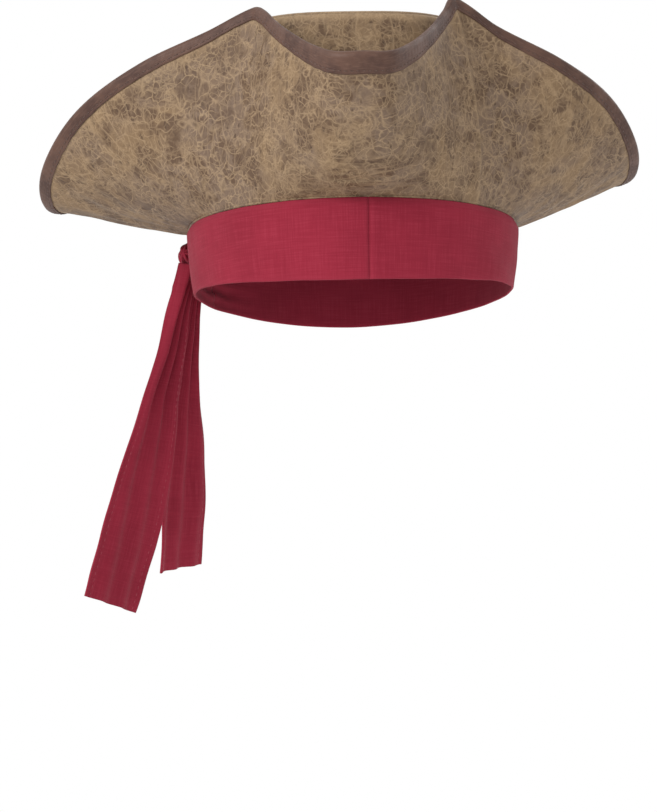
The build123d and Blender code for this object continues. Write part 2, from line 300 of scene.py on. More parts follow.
def makeLeather(s):
    finish, tree, shader = newFinish("tanLeatherCloth")
    place = addNode(tree, "TexCoord").outputs["Object"]
    cloth = addNode(tree, "UVMap", uv_map="cloth").outputs[0]
    wearAndHighlight = addNode(tree, "Attribute", attribute_name="wearAndHighlight").outputs["Fac"]
    mottle = noiseValue(tree, place, s["mottle"], 4, 0.6, 0.4)
    blotch = noiseValue(tree, place, s["blotch"], 4, 0.6, 0.7)
    grain = noiseValue(tree, place, s["grain"], 3, 0.6)
    colour = mixed(tree, fromTo(tree, mottle, 0.38, 0.62), s["tan"], s["smoke"])
    colour = mixed(tree, fromTo(tree, blotch, 0.45, 0.60, 0.0, 0.85), colour, s["deep"])
    specks = noiseValue(tree, stretched(tree, cloth, (1.0, 0.45, 1.0)), s["specks"], 2, 0.5, 0.3)
    pits = fromTo(tree, specks, 0.60, 0.70, 0.0, s["pitShare"])
    colour = mixed(tree, pits, colour, s["pit"])
    front = addNode(tree, "Attribute", attribute_name="front").outputs["Fac"]
    lies = {"front": front, "sides": maths(tree, "SUBTRACT", 1.0, front)}
    # the crackle wanders, so that no cell has straight sides
    turns, reach = s["wander"]
    drift = addNode(tree, "TexNoise", {"Vector": place, "Scale": turns, "Detail": 3.0}).outputs[1]
    drift = addNode(tree, "VectorMath", {0: drift, 1: (0.5, 0.5, 0.5)}, operation="SUBTRACT").outputs[0]
    drift = addNode(tree, "VectorMath", {0: drift, 3: reach * mm}, operation="SCALE").outputs[0]
    wandering = addNode(tree, "VectorMath", {0: place, 1: drift}, operation="ADD").outputs[0]
    lines = None
    marks = []
    for cells, width, strength in s["webs"]:
        marks.append((crackle(tree, wandering, cells, width), strength))
    for scale, stretch, contours, width, strength, where in s["hairs"]:
        source = place if where == "all" else cloth
        coords = stretched(tree, source, (stretch[0], stretch[1], 1.0), (strength, scale, strength))
        hair = hairLines(tree, coords, scale, contours, width)
        if where in lies:
            hair = maths(tree, "MULTIPLY", hair, lies[where])
        marks.append((hair, strength))
    # each kind of line shows in some places and fades in others
    for k, (mark, strength) in enumerate(marks):
        showing = noiseValue(tree, stretched(tree, place, (1.0, 1.0, 1.0), (k, 0, k)), s["fading"], 3, 0.6)
        mark = maths(tree, "MULTIPLY", mark, fromTo(tree, showing, 0.36, 0.58, 0.0, strength))
        lines = mark if lines is None else maths(tree, "MAXIMUM", lines, mark)
    colour = mixed(tree, lines, colour, s["line"])
    # wear and painted highlights on fold ridges, crease lips and the crown's top edge lighten towards the
    # crackle colour
    colour = mixed(tree, maths(tree, "MULTIPLY", wearAndHighlight, s["wearAndHighlightShare"]), colour, s["line"])
    colour = mixed(tree, fromTo(tree, grain, 0.35, 0.7, 0.0, s["grainShare"]), colour, s["deep"])
    tree.links.new(colour, shader.inputs["Base Color"])
    tree.links.new(fromTo(tree, blotch, 0.3, 0.7, 0.72, 0.52), shader.inputs["Roughness"])
    height = maths(tree, "MULTIPLY_ADD", lines, 0.5, maths(tree, "MULTIPLY", grain, 0.35))
    height = maths(tree, "MULTIPLY_ADD", pits, -0.4, height)
    raised(tree, shader, height, s["relief"], 0.8)
    shader.inputs["Specular IOR Level"].default_value = 0.18
    return finish


tapeSettings = {
    "brown": (0.086, 0.040, 0.026, 1),
    "shade": (0.052, 0.023, 0.016, 1),
    "rubbed": (0.135, 0.072, 0.050, 1),
    "threads": 1500, "patches": 60, "ribs": 450.0,
}


def makeTape(s):
    finish, tree, shader = newFinish("brownEdgeTape")
    place = addNode(tree, "TexCoord").outputs["Object"]
    cloth = addNode(tree, "UVMap", uv_map="cloth").outputs[0]
    wearAndHighlight = addNode(tree, "Attribute", attribute_name="wearAndHighlight").outputs["Fac"]
    threads = noiseValue(tree, stretched(tree, cloth, (0.12, 1.0, 1.0)), s["threads"], 2, 0.5)
    slow = noiseValue(tree, place, s["patches"], 4, 0.6)
    colour = mixed(tree, fromTo(tree, slow, 0.35, 0.65), s["brown"], s["shade"])
    colour = mixed(tree, fromTo(tree, threads, 0.45, 0.75, 0.0, 0.5), colour, s["rubbed"])
    colour = mixed(tree, maths(tree, "MULTIPLY", wearAndHighlight, 0.6), colour, s["rubbed"])
    tree.links.new(colour, shader.inputs["Base Color"])
    tree.links.new(fromTo(tree, slow, 0.3, 0.7, 0.5, 0.62), shader.inputs["Roughness"])
    shader.inputs["Specular IOR Level"].default_value = 0.3
    ribs = addNode(tree, "TexWave", {"Vector": cloth, "Scale": s["ribs"], "Distortion": 0.6},
                   wave_type="BANDS", bands_direction="X").outputs[1]
    raised(tree, shader, maths(tree, "MULTIPLY_ADD", ribs, 0.5, threads), 0.12, 0.7)
    return finish


cottonSettings = {
    "red": (0.240, 0.0165, 0.034, 1),
    "shade": (0.182, 0.011, 0.024, 1),
    "light": (0.290, 0.030, 0.052, 1),
    "threadsPerMetre": 2200, "slubs": 1300, "patches": 22,
}


def makeCotton(s):
    finish, tree, shader = newFinish("redCotton")
    place = addNode(tree, "TexCoord").outputs["Object"]
    cloth = addNode(tree, "UVMap", uv_map="cloth").outputs[0]
    wearAndHighlight = addNode(tree, "Attribute", attribute_name="wearAndHighlight").outputs["Fac"]
    slow = noiseValue(tree, place, s["patches"], 3, 0.6)
    warp = noiseValue(tree, stretched(tree, cloth, (1.0, 0.035, 1.0)), s["slubs"], 2, 0.6)
    weft = noiseValue(tree, stretched(tree, cloth, (0.035, 1.0, 1.0)), s["slubs"], 2, 0.6)
    weave = maths(tree, "ADD", maths(tree, "MULTIPLY", warp, 0.5), maths(tree, "MULTIPLY", weft, 0.5))
    colour = mixed(tree, fromTo(tree, slow, 0.35, 0.65, 0.0, 0.55), s["red"], s["shade"])
    colour = mixed(tree, fromTo(tree, weave, 0.46, 0.70, 0.0, 0.55), colour, s["light"])
    colour = mixed(tree, fromTo(tree, weave, 0.52, 0.32, 0.0, 0.40), colour, s["shade"])
    colour = mixed(tree, maths(tree, "MULTIPLY", wearAndHighlight, 0.5), colour, s["light"])
    tree.links.new(colour, shader.inputs["Base Color"])
    shader.inputs["Roughness"].default_value = 0.88
    shader.inputs["Specular IOR Level"].default_value = 0.12
    shader.inputs["Sheen Weight"].default_value = 0.04
    shader.inputs["Sheen Roughness"].default_value = 0.4
    bandScale = s["threadsPerMetre"] * 2 * math.pi / 20    # a wave node repeats every pi / 10 of its scale
    across = addNode(tree, "TexWave", {"Vector": cloth, "Scale": bandScale, "Distortion": 0.4},
                     wave_type="BANDS", bands_direction="X").outputs[1]
    upward = addNode(tree, "TexWave", {"Vector": cloth, "Scale": bandScale, "Distortion": 0.4},
                     wave_type="BANDS", bands_direction="Y").outputs[1]
    height = maths(tree, "MULTIPLY_ADD", across, upward, weave)
    raised(tree, shader, height, 0.10, 0.7)
    return finish


liningSettings = {"black": (0.016, 0.015, 0.016, 1), "dusty": (0.040, 0.038, 0.040, 1)}


def makeLining(s):
    finish, tree, shader = newFinish("liningCloth")
    cloth = addNode(tree, "UVMap", uv_map="cloth").outputs[0]
    place = addNode(tree, "TexCoord").outputs["Object"]
    twill = addNode(tree, "TexWave", {"Vector": cloth, "Scale": 330.0, "Distortion": 0.5},
                    wave_type="BANDS", bands_direction="DIAGONAL").outputs[1]
    dust = noiseValue(tree, place, 70, 5, 0.65)
    colour = mixed(tree, fromTo(tree, dust, 0.4, 0.7), s["black"], s["dusty"])
    colour = mixed(tree, maths(tree, "MULTIPLY", twill, 0.25), colour, s["dusty"])
    tree.links.new(colour, shader.inputs["Base Color"])
    shader.inputs["Roughness"].default_value = 0.55
    shader.inputs["Sheen Weight"].default_value = 0.2
    raised(tree, shader, twill, 0.08, 0.7)
    return finish


sweatSettings = {"black": (0.022, 0.020, 0.019, 1), "worn": (0.075, 0.066, 0.060, 1)}


def makeSweatTape(s):
    finish, tree, shader = newFinish("ribbedSweatTape")
    cloth = addNode(tree, "UVMap", uv_map="cloth").outputs[0]
    place = addNode(tree, "TexCoord").outputs["Object"]
    ribs = addNode(tree, "TexWave", {"Vector": cloth, "Scale": 157.0, "Distortion": 0.2},
                   wave_type="BANDS", bands_direction="X").outputs[1]
    slow = noiseValue(tree, place, 45, 5, 0.65)
    colour = mixed(tree, fromTo(tree, slow, 0.42, 0.72), s["black"], s["worn"])
    colour = mixed(tree, maths(tree, "MULTIPLY", ribs, 0.3), colour, s["worn"])
    tree.links.new(colour, shader.inputs["Base Color"])
    shader.inputs["Roughness"].default_value = 0.7
    raised(tree, shader, ribs, 0.25, 0.9)
    return finish


feltSettings = {"grey": (0.19, 0.175, 0.155, 1), "fleck": (0.33, 0.31, 0.28, 1)}


def makeFelt(s):
    finish, tree, shader = newFinish("feltCore")
    place = addNode(tree, "TexCoord").outputs["Object"]
    fibres = noiseValue(tree, stretched(tree, place, (1.0, 1.0, 2.4)), 420, 6, 0.7, 1.2)
    tree.links.new(mixed(tree, fromTo(tree, fibres, 0.4, 0.65), s["grey"], s["fleck"]),
                   shader.inputs["Base Color"])
    shader.inputs["Roughness"].default_value = 0.95
    raised(tree, shader, fibres, 0.4, 0.8)
    return finish


wireSettings = {"steel": (0.42, 0.42, 0.44, 1), "dull": (0.20, 0.19, 0.18, 1)}


def makeWire(s):
    finish, tree, shader = newFinish("steelWire")
    place = addNode(tree, "TexCoord").outputs["Object"]
    drawn = noiseValue(tree, place, 260, 5, 0.7)
    tree.links.new(mixed(tree, fromTo(tree, drawn, 0.45, 0.65), s["steel"], s["dull"]),
                   shader.inputs["Base Color"])
    tree.links.new(fromTo(tree, drawn, 0.3, 0.7, 0.28, 0.55), shader.inputs["Roughness"])
    shader.inputs["Metallic"].default_value = 1.0
    raised(tree, shader, drawn, 0.05, 0.6)
    return finish


def makeThread(name, colour, shade):
    finish, tree, shader = newFinish(name)
    place = addNode(tree, "TexCoord").outputs["Object"]
    twist = noiseValue(tree, place, 1800, 3, 0.6)
    tree.links.new(mixed(tree, fromTo(tree, twist, 0.4, 0.65), colour, shade), shader.inputs["Base Color"])
    shader.inputs["Roughness"].default_value = 0.6
    raised(tree, shader, twist, 0.1, 0.7)
    return finish


# ---- shape of the hat, the same as its CAD layers ----
hat = {
    "seamHeight": 47, "seamBackRise": 5, "topHeight": 161,
    "crownBase": (95, 105), "crownHead": (69, 79), "headPower": 3.0,
    "brimRoot": (97.5, 107.5), "rootRoom": 5, "edgeRoom": 3.4,
    "skin": 0.8, "core": 1.6, "panel": 2.0, "lining": 0.8, "play": 0.25,
    "bandFoot": (95, 105), "bandTop": (100, 110), "bandSeamX": 5, "bandThick": 1.5, "bandSideRise": 7,
    "knotAngle": -118,
}
hat["upperDepth"] = hat["skin"] + hat["core"] + 2 * hat["play"]
hat["brimThick"] = hat["upperDepth"] + hat["skin"]

# angle from the front, reach, lean towards the back, rise and belly of the brim's edge
frontStations = [
    (0, 69, 0, 67, 12), (10, 65, -14, 68, 12), (18, 49, -21, 76, 11),
    (26, 30, -22, 88, 9), (33, 12, -17, 101, 8), (38, 2, -12, 111, 7),
]
backStations = [(140, 58, 0, 77, 5), (160, 38, 0, 92, 7), (180, 33, 0, 95, 8)]
leftStations = frontStations + [
    (42, -2, -8, 115, 7), (52, 11, -2, 104, 8), (64, 40, 0, 88, 8), (80, 70, 0, 65, 7),
    (96, 92, 0, 36, 3), (110, 98, 0, 22, 0), (124, 88, 0, 45, 1),
] + backStations
rightStations = frontStations + [
    (42, -2, -8, 120, 7), (52, 10, -2, 105, 8), (64, 37, 0, 88, 8), (80, 61, 0, 70, 7),
    (96, 81, 0, 46, 4), (110, 89, 0, 36, 1), (124, 80, 0, 51, 2),
] + backStations


def ovalPoint(half, angle, height=0.0):
    return Vector((half[0] * math.sin(math.radians(angle)), -half[1] * math.cos(math.radians(angle)), height))


def outwardAt(half, angle):
    a = math.radians(angle)
    return Vector((math.sin(a) / half[0], -math.cos(a) / half[1], 0)).normalized()


def seamLevel(angle):
    return hat["seamHeight"] + hat["seamBackRise"] * max(0, -math.cos(math.radians(angle)))


def stationAt(stations, angle):
    last = len(stations) - 1

    def station(i):
        if 0 <= i <= last:
            return stations[i]
        a, reach, lean, rise, belly = stations[-i if i < 0 else 2 * last - i]
        return (-a if i < 0 else 360 - a, reach, -lean, rise, belly)

    i = max(k for k in range(last) if stations[k][0] <= angle)
    before, here, there, after = (station(k) for k in (i - 1, i, i + 1, i + 2))
    span = there[0] - here[0]
    u = (angle - here[0]) / span
    values = []
    for k in range(1, 5):
        slopeHere = (there[k] - before[k]) / (there[0] - before[0]) * span
        slopeThere = (after[k] - here[k]) / (after[0] - here[0]) * span
        values.append((2 * u**3 - 3 * u**2 + 1) * here[k] + (u**3 - 2 * u**2 + u) * slopeHere
                      + (3 * u**2 - 2 * u**3) * there[k] + (u**3 - u**2) * slopeThere)
    return values


class BrimSection:
    def __init__(self, angle):
        side = 1 if angle >= 0 else -1
        reach, lean, rise, self.belly = stationAt(rightStations if side > 0 else leftStations, abs(angle))
        out = outwardAt(hat["brimRoot"], angle)
        back = Vector((-out.y, out.x, 0)) * side
        chord = out * reach + back * lean + Vector((0, 0, rise))
        self.angle = angle
        self.along = chord.normalized()
        self.length = chord.length
        down = out - Vector((0, 0, 1))
        self.bulge = (down - self.along * down.dot(self.along)).normalized()
        self.root = ovalPoint(hat["brimRoot"], angle, seamLevel(angle))

    def smoothPoint(self, distance, depth):
        t = distance / self.length
        height = self.belly * 4 * t * (1 - t) * (1.25 - 0.5 * t)
        slope = self.belly * 4 * (1.25 - 3.5 * t + 1.5 * t * t) / self.length
        norm = math.sqrt(1 + slope * slope)
        onChord = self.root + self.along * (distance + depth * slope / norm)
        return onChord + self.bulge * (height - depth / norm)

    def point(self, distance, depth):
        base = self.smoothPoint(distance, 0)
        return self.smoothPoint(distance, depth - brimRelief(self, distance, base))


sectionCache = {}


def sectionAt(angle):
    key = round(angle, 4)
    if key not in sectionCache:
        sectionCache[key] = BrimSection(key)
    return sectionCache[key]


reliefSettings = {
    "broad": (45, 1.1), "middle": (14, 0.4),          # size and height of the uneven surface
    "foldAngle": 107, "foldSpread": 15, "foldPitch": 6.3, "foldHeight": 0.8,
    "ridgeAngle": 30, "ridgeSpread": 6, "ridgePitch": 1.6, "ridgeHeight": 0.16,
    "seamDepth": 0.6, "seamSpread": 0.55,             # the butt seam at the centre back
    "frontSpread": 24, "creaseSpread": 22,            # degrees on each side of the centre front
    # the fold at each front corner: angle at the seam, at the edge, height and half width in degrees
    "rightFold": (45.5, 40.5, 3.4, 2.6), "leftFold": (-38.5, -40.5, 1.3, 4.5),
    "otherSide": 999,                     # a fold is this many times narrower on the other side
    # creases across the front: distance from the seam, depth, rise at the sides
    "creases": [(18, 0.55, 7), (31, 0.4, 9), (46, 0.6, 8), (58, 0.35, 10), (70, 0.3, 8)],
}


# a creased ridge that runs from the seam up to the peak of a front corner
def cornerFold(section, distance):
    t = distance / section.length
    proud, line = 0.0, 0.0
    for name in ("rightFold", "leftFold"):
        low, high, height, width = reliefSettings[name]
        past = abs(section.angle) - abs(low + (high - low) * t ** 0.5)
        past *= 1 if section.angle * low > 0 else reliefSettings["otherSide"]
        side = width if past < 0 else width * 0.45    # steeper on the side away from the front
        proud += height * (math.exp(-abs(past) / side) - 0.5 * bump(past, 3.2, 2.2)) * ramp(t, 0, 0.25)
        # a thin painted highlight along the top of the fold
        line += math.exp(-abs(past) / 0.35) * height / 3
    return proud, line


# how far the cloth stands out from the smooth brim, the same for every layer of it
def brimRelief(section, distance, base):
    s = reliefSettings
    a = abs(section.angle)
    broad, middle = s["broad"], s["middle"]
    relief = roughen(base, broad[0], 1) * broad[1] + roughen(base, middle[0], 5) * middle[1]
    relief *= 1 - 0.8 * bump(a, 40, 9)                # the front corners are pulled smooth
    folds = bump(a, s["foldAngle"], s["foldSpread"])
    if folds > 0.02:
        wave = math.sin(2 * math.pi * a / s["foldPitch"] + 2.5 * roughen(base, 30, 9))
        relief += folds * s["foldHeight"] * wave * ramp(distance, 2, 14) * (1 - ramp(distance, 45, 95))
    front = bump(section.angle, 0, s["creaseSpread"])
    if front > 0.02:
        for start, depth, rise in s["creases"]:
            line = start + rise * (section.angle / 25) ** 2 + 2 * roughen(base, 26, start)
            relief -= front * depth * bump(distance, line, 1.5)
            relief += front * depth * 0.45 * bump(distance, line - 3.2, 2.2)
    ridges = bump(a, s["ridgeAngle"], s["ridgeSpread"])
    if ridges > 0.02:
        wave = math.sin(2 * math.pi * a / s["ridgePitch"] + 3 * roughen(base, 18, 3))
        relief += ridges * s["ridgeHeight"] * wave
    if 25 < a < 65:
        relief += cornerFold(section, distance)[0]
    relief -= s["seamDepth"] * bump(a, 180, s["seamSpread"])
    return relief * ramp(distance, 0, 10) * (1 - 0.85 * ramp(section.length - distance, 16, 2))


# angles that share the brim out evenly by its length round, two thirds of the way up
def evenAngles(count):
    step = 0.5
    fine = [-180 + step * k for k in range(int(360 / step) + 1)]
    spots = [sectionAt(a).smoothPoint(sectionAt(a).length * 0.66, 0) for a in fine]
    return shareOut(fine, spots, count)


# ---- brim: two skins, a felt core, edge tape and wire ----
brimSettings = {
    "skinGrid": (600, 66), "coreGrid": (300, 34),     # columns round the brim and rows up it
    # ridge and crease values paint highlights on raised leather; the edge value is wear near the tape
    "ridgeHighlight": 0.7, "edgeWear": 0.35, "creaseHighlight": 0.4,
    "upperStart": 2.5,                    # the upper skin begins this far from the root
}


def brimLayer(name, columns, rows, start, depth, thickness):
    angles, measures = evenAngles(columns)
    s = brimSettings

    def shape(u, v):
        k = round(u * columns)
        section = sectionAt(angles[k])
        end = section.length - hat["edgeRoom"]
        distance = start + (end - start) * v
        a = abs(section.angle)
        # painted highlight along the front corner folds, then wear near the edge
        wearAndHighlight = s["ridgeHighlight"] * cornerFold(section, distance)[1] if 25 < a < 65 else 0.0
        wearAndHighlight += s["edgeWear"] * bump(section.length - distance, 9, 3)
        front = bump(section.angle, 0, reliefSettings["frontSpread"])
        for place, _, rise in reliefSettings["creases"]:
            line = place + rise * (section.angle / 25) ** 2
            # painted highlight on the raised lip beside each front crease
            rubbed = s["creaseHighlight"] * front * bump(distance, line - 2.8, 1.2)
            wearAndHighlight += rubbed * (0.5 + roughen(section.root, 9, place))
        return section.point(distance, depth), measures[k], distance, wearAndHighlight, front

    piece = meshObject(name, sheetMesh(columns, rows, shape, joinSides=True))
    addThickness(piece, thickness)
    return piece


tapeShape = {
    "reach": 8.5, "frontExtra": 3.5, "frontSpread": 26, "thickness": 0.8,
    "columns": 880, "legRows": 9, "noseRows": 6,
    "stitchFromEdge": 2.0, "stitchPitch": 3.6, "stitchRadius": 0.28,
    "pucker": 0.32, "swell": 0.14,        # how deep the stitches pull the tape in, and its swell beside them
}


def tapeStart(section):
    s = tapeShape
    return section.length - s["reach"] - s["frontExtra"] * bump(section.angle, 0, s["frontSpread"])


# the tape's outside: up the outer face, round the edge and down the inner face
def tapePoint(section, share, round_):
    s = tapeShape
    rows = 2 * s["legRows"] + s["noseRows"]
    row = share * rows
    gap = hat["play"] + s["thickness"]
    nose = hat["brimThick"] / 2 + gap
    start = tapeStart(section) + 0.35 * roughen(section.smoothPoint(section.length, 0), 7, 4)
    end = section.length - nose
    if s["legRows"] < row < s["legRows"] + s["noseRows"]:
        turn = math.pi * (row - s["legRows"]) / s["noseRows"]
        return section.point(end + nose * math.sin(turn), hat["brimThick"] / 2 - nose * math.cos(turn)), start
    leg = row / s["legRows"] if row <= s["legRows"] else (rows - row) / s["legRows"]
    distance = start + (end - start) * leg
    fromEdge = distance - start
    proud = gap * (0.55 + 0.45 * ramp(fromEdge, 0, 1.4))
    turn = 2 * math.pi * round_ / s["stitchPitch"]
    proud -= s["pucker"] * bump(fromEdge, s["stitchFromEdge"], 0.8) * (0.65 + 0.35 * math.cos(turn))
    proud += s["swell"] * bump(fromEdge, 5.4, 1.8) * math.cos(turn + 0.6)
    return section.point(distance, -proud if row <= s["legRows"] else hat["brimThick"] + proud), start


def makeTapePiece(finish):
    s = tapeShape
    angles, measures = evenAngles(s["columns"])

    def shape(u, v):
        k = round(u * s["columns"])
        section = sectionAt(angles[k])
        place, start = tapePoint(section, v, measures[k])
        up = 2 * (section.length - start) * v
        wearAndHighlight = 0.6 * bump(v, 0.5, 0.09) * (0.6 + roughen(place, 16, 2)) + 0.25 * max(0, roughen(place, 9, 7))
        return place, measures[k], up, wearAndHighlight

    rows = 2 * s["legRows"] + s["noseRows"]
    piece = meshObject("brimBinding", sheetMesh(s["columns"], rows, shape, joinSides=True))
    addThickness(piece, s["thickness"])
    dress(piece, finish, "brown_binding", "brim_binding")


def makeTapeStitches(finish):
    s = tapeShape
    bm = bmesh.new()
    total = evenAngles(4)[1][-1]
    count = int(total / s["stitchPitch"])
    angles = evenAngles(count * 4)[0]
    gap = hat["play"] + s["thickness"] - 0.1
    for k in range(count):
        here = [sectionAt(angles[4 * k + j]) for j in (0, 3)]
        for depth, sign in ((-gap, -1), (hat["brimThick"] + gap, 1)):
            ends = [w.point(tapeStart(w) + s["stitchFromEdge"], depth) for w in here]
            below = here[0].point(tapeStart(here[0]) + s["stitchFromEdge"], depth - sign)
            away = (ends[0] - below).normalized()
            addStitch(bm, ends[0], ends[1], away, s["stitchRadius"])
    dress(meshObject("bindingStitches", bm), finish, "thread")


def makeBrim(finishes):
    s = brimSettings
    skinGrid, coreGrid = s["skinGrid"], s["coreGrid"]
    under = brimLayer("brimUnderSkin", *skinGrid, 0, 0, hat["skin"])
    dress(under, finishes["leather"], "tan_leather", "brim_under_skin")
    upper = brimLayer("brimUpperSkin", *skinGrid, s["upperStart"], hat["upperDepth"], hat["skin"])
    dress(upper, finishes["leather"], "tan_leather", "brim_upper_skin")
    core = brimLayer("brimCore", *coreGrid, hat["rootRoom"], hat["skin"] + hat["play"], hat["core"])
    dress(core, finishes["felt"], "felt_core", "brim_core")
    makeTapePiece(finishes["tape"])
    makeTapeStitches(finishes["brownThread"])
    print("brim ready")


# ---- crown: two side panels, a top, and the lining inside ----
crownSettings = {
    "rimRadius": 5, "panelTop": 159, "columns": 230, "rows": 92,
    "topCells": 120, "topSag": 1.6,
    "broad": (38, 0.9), "middle": (12, 0.3),          # size and height of the uneven surface
    "seamDepth": 0.75, "allowanceHeight": 0.35,       # the side seams, and the folded cloth behind them
    "gatherHeight": 0.12,                 # fine gathers just under the top seam
    # rim and top values paint a highlight on the crown's rounded top edge; the seam value is wear
    "rimHighlight": 0.75, "topRimHighlight": 0.7, "seamWear": 0.4,
    "flare": 3.2, "flareHeight": 3.0,     # the foot turns out to meet the brim's root
    "liningPleats": 36, "liningGrid": (360, 60), "liningTopCells": 80,
    "sweatHeight": 30, "sweatGrid": (400, 24), "sweatThick": 1.0, "sweatStitches": 150,
}


def powered(value, power):
    return math.copysign(abs(value) ** power, value)


def crownHalf(height, inset):
    u = (height - hat["seamHeight"]) / (hat["topHeight"] - hat["seamHeight"])
    half = [a + (b - a) * u - inset for a, b in zip(hat["crownBase"], hat["crownHead"])]
    return half, 2 + (hat["headPower"] - 2) * u


def crownPoint(turn, height, inset):
    half, power = crownHalf(height, inset)
    a = math.radians(turn)
    x = half[0] * powered(math.sin(a), 2 / power)
    y = -half[1] * powered(math.cos(a), 2 / power)
    return Vector((x, y, height))


def rimInset(height):
    up = max(0, height - hat["topHeight"] + crownSettings["rimRadius"])
    return crownSettings["rimRadius"] - math.sqrt(max(0, crownSettings["rimRadius"] ** 2 - up * up))


# angles that share an oval out evenly by its length round
def evenTurns(first, last, count, height):
    steps = 720
    fine = [first + (last - first) * k / steps for k in range(steps + 1)]
    return shareOut(fine, [crownPoint(a, height, 0) for a in fine], count)


def makeCrownPanel(name, first, node, finish):
    s = crownSettings
    columns, rows = s["columns"], s["rows"]
    broad, middle = s["broad"], s["middle"]
    turns, measures = evenTurns(first, first + 180, columns, 110)

    def shape(u, v):
        k = round(u * columns)
        height = hat["seamHeight"] + (s["panelTop"] - hat["seamHeight"]) * v
        flat = crownPoint(turns[k], height, 0)
        fromSeam = min(measures[k], measures[-1] - measures[k])
        relief = broad[1] * roughen(flat, broad[0], 11) + middle[1] * roughen(flat, middle[0], 13)
        fromFoot = height - hat["seamHeight"]
        relief *= ramp(fromFoot, 0, 12) * ramp(s["panelTop"] - height, 0, 12)
        gathers = ramp(height, s["panelTop"] - 5, s["panelTop"] - 2)
        relief += s["gatherHeight"] * math.sin(height * 5.2) * gathers
        relief -= s["seamDepth"] * bump(fromSeam, 0, 1.1)
        relief += s["allowanceHeight"] * bump(fromSeam, 4.5, 2.6)
        flare = s["flare"] * bump(height, seamLevel(turns[k]), s["flareHeight"])
        place = crownPoint(turns[k], height, rimInset(height) - min(relief, 0.8) - flare)
        # painted highlight along the rounded top edge of the panel
        wearAndHighlight = s["rimHighlight"] * ramp(height, s["panelTop"] - 6, s["panelTop"] - 2)
        wearAndHighlight += s["seamWear"] * bump(fromSeam, 4, 2)
        return place, measures[k], height, wearAndHighlight

    piece = meshObject(name, sheetMesh(columns, rows, shape))
    addThickness(piece, hat["panel"])
    dress(piece, finish, "tan_leather", node)


# a square grid pushed out to the crown's rounded oval
def discShape(place):
    def shape(u, v):
        x, y = 2 * u - 1, 2 * v - 1
        reach = max(abs(x), abs(y))
        if reach < 1e-6:
            turn = 0.0
        elif abs(x) > abs(y):
            turn = math.pi / 4 * y / x + (math.pi if x < 0 else 0)
        else:
            turn = math.pi / 2 - math.pi / 4 * x / y + (math.pi if y < 0 else 0)
        return place(1 - (1 - reach) ** 1.25, turn)
    return shape


def rimReach(turn, half, power):
    return (abs(math.cos(turn) / half[0]) ** power + abs(math.sin(turn) / half[1]) ** power) ** (-1 / power)


def makeCrownTop(finish):
    s = crownSettings
    start = s["panelTop"] + hat["play"]

    def place(reach, turn):
        half, power = crownHalf(start, rimInset(start))
        radius = rimReach(turn, half, power)
        inner = radius * reach
        fromRim = radius - inner + rimInset(start)
        x, y = inner * math.cos(turn), inner * math.sin(turn)
        rise = s["rimRadius"] - min(fromRim, s["rimRadius"])
        height = hat["topHeight"] - s["rimRadius"] + math.sqrt(max(0, s["rimRadius"] ** 2 - rise * rise))
        spot = Vector((x, y, 0))
        sag = ramp(fromRim, 4, 40)
        height += sag * (0.7 * roughen(spot, 34, 17) + 0.25 * roughen(spot, 11, 19) - s["topSag"])
        # the lighter band near the rim is a painted highlight on the rounded top edge
        return Vector((x, y, height)), x, y, s["topRimHighlight"] * bump(fromRim, 3, 3)

    cells = s["topCells"]
    piece = meshObject("crownTop", sheetMesh(cells, cells, discShape(place)))
    addThickness(piece, hat["panel"])
    dress(piece, finish, "tan_leather", "crown_top")


